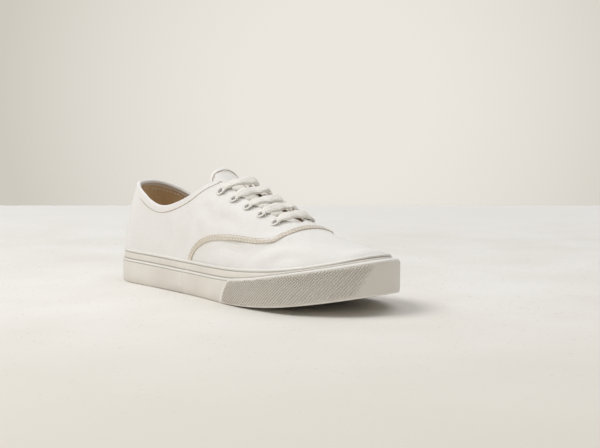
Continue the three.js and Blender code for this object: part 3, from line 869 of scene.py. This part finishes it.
def rubber_wall():
    """Lower tape and upper band with their beaded edges, lapped at a joint on the lateral side."""
    joint = 113.0
    stations = stations_round(2.0, [joint - 0.5, joint, joint + 0.4])
    x, side = ring_of(stations)
    at = np.clip(x, 0, LENGTH)
    tape, top = column(RUBBER, "tape", at), column(RUBBER, "wall", at)
    lap = 0.4 * soft_step((joint - x) / 0.5) * soft_step((x - 60) / 50) * (side < 0)
    flat = 0 * x
    # Each loop from the underside up has its light mark (1 a painted highlight on a bead, -1 painted shade
    # in a groove), its distance and its height:
    # first the distance in from the sole's outline, then, from the top of the tape, the distance off the
    # last.
    lower = [
        (0, 3.2, flat + 1.6), (0, 0.7, flat + 0.25), (0, -lap, flat + 1.1),
        (0, -0.15 - lap, tape * 0.4), (0, -lap, tape * 0.75),
    ]
    edge = ((0, 0.15, 2.3), (-1, 0.45, 1.75), (1, -0.1, 1.4), (1, -0.2, 0.8), (1, 0.25, 0.1))
    for mark, inset, below in edge:
        lower.append((mark, inset - lap + toe_round(at, below), tape - below))
    lower.append((0, 1.1 + toe_round(at, 0.05), tape - 0.05))
    upper = [
        (-1, 0.9, tape - 0.5), (-0.6, 1.4 + lap, tape + 0.5), (0, 1.5 + lap, tape + 1.4),
        (0, 1.5 + lap, (tape + top) / 2), (0, 1.35 + lap, top - 3.0), (-0.8, 0.75 + lap, top - 2.3),
        (1, 1.6 + lap, top - 1.7), (1, 1.8 + lap, top - 1.0), (1, 1.6 + lap, top - 0.3),
        (1, 1.0, top + 0.1), (-1, 0.3, top - 0.1), (0, 0.3, top - 4.0), (0, 0.3, flat + 12.0),
    ]
    loops = [sole_loop(x, side, inset, z) for mark, inset, z in lower]
    loops += [wall_loop(x, side, grow, z) for mark, grow, z in upper]
    loops.append(sole_loop(x, side, 3.4, flat + 9.4))
    marks = [row[0] for row in lower + upper] + [0]
    count = len(x)
    turn = np.append(np.arange(count), 0)
    closing = band(turn + (len(loops) - 1) * count, turn)
    faces = np.concatenate([lattice(len(loops), count, 0, wrap=True), closing])
    marks = np.repeat(marks, count)
    keep(make("rubber_wall", np.array(loops), faces, SOLE_RUBBER, marks={"painted_light": marks}), "rubber", "foxing")


rubber_wall()

# ---- Toe strip ----


def toe_strip():
    """Strip round the toe with a smooth border and a field of slanting ribs."""
    rear, rake = 168.0, 19.0
    rows, columns = 28, 260
    v = np.linspace(0, 1, rows)[:, None]
    u = np.linspace(-1, 1, columns)[None, :]
    side = np.where(u < 0, -1.0, 1.0) + 0 * v
    start = rear + rake * (1 - np.sqrt(1 - v**2))
    swing = np.abs(u)
    x = start + (LENGTH - start) * np.sin((1 - swing) * math.pi / 2)
    top = column(RUBBER, "tape", np.clip(x, 0, LENGTH)) + 0.4
    z = 0.4 + (top - 0.4) * v
    grids = []
    for out in (1.1, 0.25):
        at = station_at(x * (LENGTH - 2 * INSET) / LENGTH + INSET, -out)
        y = half_width(at, side, -out)
        grids.append(np.stack([at, axis_y(at) + side * y, z + spring(at)], -1))
    outer, inner = grids
    normals = normals_of(outer)
    if np.einsum("k,k", normals[rows // 2, 20], np.array([0, -1, 0])) < 0:
        normals = -normals
    run = run_along(outer, axis=1)
    ends = np.minimum(run, run[:, -1:] - run)
    edge = np.minimum(np.minimum(ends, (top - z)), z + 0.6)
    recess = soft_step((edge - 1.4) / 0.5)
    rounded = np.clip(1 - np.minimum(top - z, z - 0.4) / 1.2, 0, 1)
    blunt = toe_round(x, top - z)
    outer = outer - normals * (0.35 * recess + 0.7 * (1 - np.sqrt(1 - rounded**2)) + blunt)[..., None]
    inner = inner - normals * blunt[..., None]
    points, faces = shell(outer, inner)
    # Painted highlight along the smooth border, and faint painted shade over the recessed field of ribs.
    border = 1 - soft_step((edge - 1.2) / 0.5) - 0.25 * recess
    marks = np.concatenate([border.ravel(), border.ravel() * 0])
    keep(make("toe_strip", points, faces, TOE_RUBBER, marks={"painted_light": marks}), "toe_rubber", "toe_bumper")
    field(outer, normals, run, z, edge)


def crested_stud():
    """A low stud with a long crest on a diamond base, one unit across."""
    points = [
        (-0.5, 0, 0), (0, -0.5, 0), (0.5, 0, 0), (0, 0.5, 0), (-0.3, 0, 0.5), (0.3, 0, 0.5),
        (0, 0, -0.3),
    ]
    faces = [
        (0, 1, 4), (1, 5, 4), (1, 2, 5), (2, 3, 5), (3, 4, 5), (3, 0, 4),
        (1, 0, 6), (2, 1, 6), (3, 2, 6), (0, 3, 6),
    ]
    mesh = bpy.data.meshes.new("stud")
    mesh.from_pydata(points, [], faces)
    # Painted highlight on the crest and painted shade round the base.
    painted_light = mesh.attributes.new("painted_light", "FLOAT", "POINT")
    painted_light.data.foreach_set("value", [-0.9] * 4 + [0.5] * 2 + [-0.9])
    return linked("stud", mesh)


def field(outer, normals, run, z, edge):
    """Slanting ribs over the strip, each of overlapping studs, fading out at the front of the toe."""
    rows, columns = outer.shape[:2]
    middle = rows // 2
    length = run[middle, -1]
    centred = run + (length - run[:, -1:]) / 2
    pitch, rise_step, slant = 2.8, 1.0, math.radians(45)
    stud_length, stud_width, stud_height = 2.5, 1.5, 1.7
    spots = {"at": [], "heading": [], "up": [], "size": []}
    for i in range(24):
        height = 2.0 + i * rise_step
        for j in range(-12, int(length / pitch) + 1):
            along = j * pitch + height / math.tan(slant)
            column_at = np.interp(along, centred[middle], np.arange(columns))
            row_at = np.interp(height, z[:, int(column_at)], np.arange(rows))
            k, r = int(column_at), min(int(row_at), rows - 2)
            bare = 5 + 17 * (1 - height / 24) if along < length / 2 else 34
            fade = soft_step((abs(along - length / 2) - bare) / 7)
            if not 1 < column_at < columns - 2 or edge[r, k] < 2.3 or z[-1, k] - height < 2.2 or fade < 0.1:
                continue
            across, over = column_at - k, row_at - r
            low = outer[r, k] * (1 - across) + outer[r, k + 1] * across
            high = outer[r + 1, k] * (1 - across) + outer[r + 1, k + 1] * across
            tangent = unit(outer[r, k + 1] - outer[r, k])
            spots["at"].append(low * (1 - over) + high * over)
            spots["heading"].append(tangent * math.cos(slant) + unit(high - low) * math.sin(slant))
            spots["up"].append(normals[r, k])
            spots["size"].append(np.array([stud_length, stud_width, stud_height * fade]) / 1000)
    spots = {key: np.array(value) for key, value in spots.items()}
    laid = (spots[key] for key in ("at", "heading", "up", "size"))
    keep(seat("toe_diamonds", crested_stud(), *laid, TOE_RUBBER), "toe_rubber")


toe_strip()

# ---- Sock liner ----


def sock_liner():
    """Padded terry sheet that the foot stands on, dished at its middle."""
    x = station_at(stations_round(3.0), 5.2)
    t = np.linspace(-1, 1, 33)[:, None]
    side = np.where(t < 0, -1.0, 1.0) + 0 * x
    grids = []
    for inset, z, dish in ((5.6, 14.0, 0.9), (5.2, 9.4, 0.0)):
        at = inset + (x - 5.2) * (LENGTH - 2 * inset) / (LENGTH - 10.4)
        y = half_width(at, side, inset) * np.abs(t)
        edge = 1 - np.abs(t) ** 4
        grids.append(np.stack([at + 0 * t, axis_y(at) + side * y, z - dish * edge + spring(at) + 0 * t], -1))
    points, faces = shell(grids[0], grids[1])
    uv = grids[0][..., :2].reshape(-1, 2)
    keep(make("sock_liner", points, faces, FOOTBED, np.concatenate([uv, uv])), "footbed", "insole")


sock_liner()

# ---- Tongue ----


def tongue_half(x):
    width = np.interp(x, (TONGUE_TOP, TONGUE_ROOT), TONGUE_HALF)
    turn = np.clip((TONGUE_TOP + TONGUE_CORNER - x) / TONGUE_CORNER, 0, 1)
    return width * (0.5 + 0.5 * np.sqrt(1 - turn**2))


def tongue_point(x, t, grow):
    flick = 2.6 * np.clip(1 - (x - TONGUE_TOP) / 17, 0, 1) * (1 - t * t)
    lean = 4.5 * soft_step((TONGUE_TOP + 24 - x) / 24)
    return top_point(x, t * tongue_half(x) + lean, grow + flick)


def tongue():
    """Canvas tongue with a bound edge, a seam line beside it and soft ripples under the lace."""
    x = TONGUE_TOP + (TONGUE_ROOT - TONGUE_TOP) * np.linspace(0, 1, 90) ** 1.5
    t = np.linspace(-1, 1, 41)[:, None]
    face, middle, back = TONGUE_DEPTH
    ripple = 0.25 * np.sin(x / 3.1 + 3 * t) * np.cos(t * 1.4) * soft_step((x - 126) / 12)
    pleat = 0.55 * np.cos(t * tongue_half(x) * 2 * math.pi / 3.4) * soft_step((x - 192) / 6)
    outer = tongue_point(x + 0 * t, t + 0 * x, ripple + pleat - face)
    inner = tongue_point(x + 0 * t, t + 0 * x, -back)
    points, faces = shell(outer, inner)
    uv = np.stack([x + 0 * t, t * tongue_half(x)], -1).reshape(-1, 2)
    keep(make("tongue_canvas", points, faces, CANVAS, np.concatenate([uv, uv])), "canvas", "tongue")
    side = np.linspace(134, TONGUE_TOP, 30)
    across = np.linspace(-1, 1, 24)[1:-1]
    seam_top = TONGUE_TOP + 5.2
    edge, inland = (np.concatenate([
        tongue_point(sides, -share + 0 * side, -middle),
        tongue_point(top + 0 * across, across * share, -middle),
        tongue_point(sides, share + 0 * side, -middle)[::-1],
    ]) for sides, top, share in ((side, TONGUE_TOP, 1), (np.maximum(side, seam_top), seam_top, 0.76)))
    path = smooth_path(edge, 1.2)
    inward = unit(inland - edge)[near(path, edge)[1]]
    for _ in range(8):
        inward[1:-1] = unit(inward[:-2] + 2 * inward[1:-1] + inward[2:])
    up = unit(np.cross(inward, unit(np.gradient(path, axis=0))))
    fold = [
        (4.2, 0.9), (3.6, 1.35), (2.0, 1.5), (0.4, 1.25), (-0.3, 0.5), (-0.3, -0.5), (0.4, -1.3),
        (3.6, -1.4), (3.8, 0),
    ]
    points, faces, uv = swept(path, up, fold)
    keep(make("tongue_binding", points, faces, BINDING, uv), "canvas")
    # A seam line whose brown is painted shade, the shadow line beside the tongue's binding.
    line = path + inward * 5.0 + up * 1.7
    keep(sew("tongue_seam", [(line, up)], 1.5, 1.45, 0.5, THREAD_BROWN_SHADE), "canvas")


tongue()

# ---- Eyelets and lace ----


def lace_spots():
    i = np.arange(EYELET_COUNT)
    return EYELET_FIRST + i * EYELET_PITCH, np.linspace(*EYELET_REACH, EYELET_COUNT)


def eyelet_shape():
    """A rolled flange and the barrel below it, in metres, turned round its axis."""
    profile = [
        (2.1, -EYELET_BARREL), (2.5, -EYELET_BARREL), (2.6, 0.0), (4.0, 0.0), (4.55, 0.35),
        (4.5, 0.8), (3.9, 1.15), (2.9, 1.1), (2.35, 0.7),
    ]
    turns = 28
    angle = np.linspace(0, 2 * math.pi, turns, endpoint=False)
    radius, height = np.array(profile).T[:, :, None] / 1000
    ring = np.stack([radius * np.cos(angle), radius * np.sin(angle), height + 0 * angle], -1)
    count = len(profile)
    faces = lattice(count + 1, turns, 0, wrap=True) % (count * turns)
    mesh = bpy.data.meshes.new("eyelet")
    mesh.from_pydata(ring.reshape(-1, 3).tolist(), [], faces.tolist())
    body = bmesh.new()
    body.from_mesh(mesh)
    bmesh.ops.recalc_face_normals(body, faces=body.faces)
    body.to_mesh(mesh)
    body.free()
    return linked("eyelet", mesh)


def punch(spots, ups, radius):
    """Cuts a round hole through the canvas and its lining at every eyelet."""
    punches = bmesh.new()
    for spot, up in zip(place(spots), ups):
        turn = Vector(up).to_track_quat("Z", "Y").to_matrix().to_4x4()
        bmesh.ops.create_cone(
            punches, cap_ends=True, segments=24, radius1=radius / 1000, radius2=radius / 1000,
            depth=0.008, matrix=Matrix.Translation(Vector(spot)) @ turn,
        )
    mesh = bpy.data.meshes.new("punches")
    punches.to_mesh(mesh)
    punches.free()
    cutter = linked("punches", mesh)
    for name in ("canvas_upper", "lining"):
        piece = bpy.data.objects[name]
        cut = piece.modifiers.new("punch", "BOOLEAN")
        cut.operation = "DIFFERENCE"
        cut.object = cutter
        settled(piece)
    bpy.data.objects.remove(cutter)


def eyelets(canvas):
    x, reach = lace_spots()
    spots = np.concatenate([top_point(x, -reach), top_point(x, reach)])
    laid, up = canvas.lay(spots, 0.05)
    away = np.repeat([[0.0, -1.0, 0.0], [0.0, 1.0, 0.0]], EYELET_COUNT, axis=0)
    tilt, stand = 0.32, 0.5
    up = unit(up + tilt * away)
    laid = laid + stand * up
    punch(laid, up, EYELET_HOLE)
    heading = np.tile([1.0, 0, 0], (len(laid), 1))
    piece = seat("eyelets", eyelet_shape(), laid, heading, up, np.ones((len(laid), 3)), ENAMEL)
    names = [f"eyelet_{side}_{i + 1}" for side in ("lateral", "medial") for i in range(EYELET_COUNT)]
    keep(piece, "eyelet_metal", *names)
    return laid, up


# How each bar of the lace lies, from the top eyelets down: how high it puffs, how far its middle
# swings to the toe, its twist in degrees, and the hump where it bunches by the medial eyelet.
LACE_BARS = table(
    "puff swing twist hump",
    (1.6, 1.0, 14, 2.6),
    (1.5, 0.6, -8, 2.4),
    (1.3, 0.9, 10, 2.0),
    (1.2, 0.4, -10, 1.7),
    (1.0, 0.8, 8, 1.2),
)


def lace(laid, up):
    """Five bars of flat lace, each in through one eyelet and out through the one across."""
    x, reach = lace_spots()
    ahead, inward = 2.2, 1.6  # where the lace goes in, off each eyelet's middle
    for i in range(EYELET_COUNT):
        puff, swing, twist, hump = (LACE_BARS[key][i] for key in ("puff", "swing", "twist", "hump"))
        near_eye, far_eye = laid[i] + [ahead, inward, 0], laid[i + EYELET_COUNT] + [ahead, -inward, 0]
        near_up, far_up = up[i], up[i + EYELET_COUNT]
        share = np.array([-0.8, -0.45, -0.1, 0.3, 0.62, 0.84])
        over = top_point(x[i] + swing + 1.0 + 0 * share, share * reach[i], 2.2 + puff * (1 - share**2))
        over[:, 2] += hump * np.exp(-(((share - 0.55) / 0.22) ** 2))
        route = np.concatenate([
            [near_eye - near_up * EYELET_BARREL], [near_eye + near_up * 0.6], over,
            [far_eye + far_up * 0.6], [far_eye - far_up * EYELET_BARREL],
        ])
        path = smooth_path(route, 0.7)
        run = np.linspace(0, 1, len(path))
        lift = unit(np.array([0.55, 0, 1.0])) + np.outer(np.cos(run * math.pi), [0, -0.9, 0])
        spin = np.radians(twist) * np.sin(run * 2 * math.pi)
        full = soft_step((np.minimum(run, 1 - run) - 0.05) / 0.17)
        wide = (LACE_HALF[0] + LACE_HALF[1] * full) * (1 + 0.10 * np.sin(run * 23 + 1.7 * i))
        thick = 0.5 + 1.5 * full
        turn = np.linspace(0, 2 * math.pi, 32, endpoint=False)
        folds = ((0.42, 0.05, 0.15), (0.28, 0.58, 0.12), (0.22, -0.5, 0.14))
        crease = 1 - sum(deep * np.exp(-(((np.cos(turn) - at) / width) ** 2)) for deep, at, width in folds)
        run, spin = run[:, None], spin[:, None]
        wobble = 1 + 0.14 * np.sin(run * 17 + 2 * i) + 0.08 * np.sin(run * 39 + 3 * turn + i)
        flat = wide[:, None] * np.sign(np.cos(turn)) * np.abs(np.cos(turn)) ** 0.8
        tall = thick[:, None] * np.sin(turn) * crease * wobble
        c, s = np.cos(spin), np.sin(spin)
        profile = np.stack([flat * c - tall * s, flat * s + tall * c], -1)
        points, faces, uv = swept(path, lift, profile)
        keep(make(f"lace_{i + 1}", points, faces, LACE, uv), "lace_cotton", f"lace_bar_{i + 1}")


seats, seat_ups = eyelets(surface)
lace(seats, seat_ups)

# ---- Tread, stage, light and camera ----

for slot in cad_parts["outsole"].material_slots:
    slot.material = TREAD_RUBBER

AZIMUTH, ELEVATION = math.radians(46.85), math.radians(5.947)
AIM = Vector((0.02749, 0.03155, 0.05545))
DISTANCE = 0.9855
BACK = Vector((
    math.sin(AZIMUTH) * math.cos(ELEVATION), -math.cos(AZIMUTH) * math.cos(ELEVATION), math.sin(ELEVATION),
))
RIGHT = Vector((math.cos(AZIMUTH), math.sin(AZIMUTH), 0))
UP = BACK.cross(RIGHT)
camera_data = bpy.data.cameras.new("camera")
camera_data.sensor_width = 36
camera_data.lens = 73.87
camera = linked("camera", camera_data)
turn = Matrix((RIGHT, UP, BACK)).transposed().to_4x4()
camera.matrix_world = Matrix.Translation(AIM + BACK * DISTANCE) @ turn
bpy.context.scene.camera = camera


def floor_plaster(level, far):
    """Honed plaster: matt, clouded, a few dark specks; a painted highlight makes it paler at its far edge
    and painted shade makes it darker in front.
    """
    material, tree, shader = new_material("floor_plaster")
    solid = add(tree, "ShaderNodeTexCoord").outputs["Object"]
    cloud = add(tree, "ShaderNodeTexNoise", {"Vector": solid, "Scale": 9, "Detail": 6}).outputs["Fac"]
    grains = add(tree, "ShaderNodeTexNoise", {"Vector": solid, "Scale": 260, "Detail": 1}).outputs["Fac"]
    along = {0: solid, 1: level}
    reach = add(tree, "ShaderNodeVectorMath", along, operation="DOT_PRODUCT").outputs["Value"]
    edge = far.dot(level)
    shade = toned(tree, "#f2efe9", [
        (cloud, 0.35, 0.65, 0, 1, "#ebe7df"),
        (grains, 0.69, 0.74, 0, 0.35, "#8f8778"),
        # Painted highlight towards the far edge, and painted shade towards the front.
        (reach, edge + 0.45, edge, 0, 1, "#fbf8f2"),
        (reach, edge + 0.80, edge + 1.25, 0, 1, "#e6e0d4"),
    ])
    tree.links.new(shade, shader.inputs["Base Color"])
    shader.inputs["Roughness"].default_value = 0.9
    shader.inputs["Specular IOR Level"].default_value = 0.1
    return material


def flat_stage(name, corners, material):
    mesh = bpy.data.meshes.new(name)
    mesh.from_pydata(corners, [], [(0, 1, 2, 3)])
    mesh.materials.append(material)
    ground = linked(name, mesh)


level = Vector((BACK.x, BACK.y, 0)).normalized()
far = AIM - level * 0.79
far.z = 0
reach = RIGHT * 4
FLOOR = floor_plaster(level, far)
flat_stage("floor", [far - reach, far - reach + level * 5, far + reach + level * 5, far + reach], FLOOR)


def soft_box(name, direction, distance, size, power):
    light = bpy.data.lights.new(name, "AREA")
    light.shape = "SQUARE"
    light.size = size
    light.energy = power
    lamp = linked(name, light)
    direction = direction.normalized()
    lamp.location = AIM + direction * distance
    lamp.rotation_euler = direction.to_track_quat("Z", "Y").to_euler()


soft_box("key", -RIGHT * 0.85 + level * 0.2 + Vector((0, 0, 1.25)), 1.9, 1.1, 21)
soft_box("fill", RIGHT * 0.6 + level * 1.0 + Vector((0, 0, 0.9)), 2.6, 2.0, 3)
soft_box("overhead", RIGHT * 0.45 - level * 0.25 + Vector((0, 0, 1.0)), 1.8, 1.6, 9)


def studio_world(level):
    """Even soft light all round, and a pale paper backdrop with a painted glow of light, brightest behind
    the shoe.
    """
    world = bpy.data.worlds.new("studio")
    world.use_nodes = True
    tree = world.node_tree
    tree.nodes.clear()
    heading = add(tree, "ShaderNodeTexCoord").outputs["Generated"]
    aimed = {0: heading, 1: -level + RIGHT * 0.03}
    facing = add(tree, "ShaderNodeVectorMath", aimed, operation="DOT_PRODUCT").outputs["Value"]
    # The paper's colour carries a painted pool of light behind the shoe.
    paper_painted_glow = toned(tree, "#cfcac0", [(facing, 0.965, 0.998, 0, 1, "#ebe7df")])
    paper = add(tree, "ShaderNodeBackground", {"Color": paper_painted_glow, "Strength": 1.0}).outputs[0]
    daylight = {"Color": colour("#fbfcff"), "Strength": 0.35}
    light = add(tree, "ShaderNodeBackground", daylight).outputs[0]
    seen = add(tree, "ShaderNodeLightPath").outputs["Is Camera Ray"]
    mixed = add(tree, "ShaderNodeMixShader", {0: seen, 1: light, 2: paper}).outputs[0]
    add(tree, "ShaderNodeOutputWorld", {"Surface": mixed})
    return world


bpy.context.scene.world = studio_world(level)
bpy.context.scene.view_settings.view_transform = "Standard"
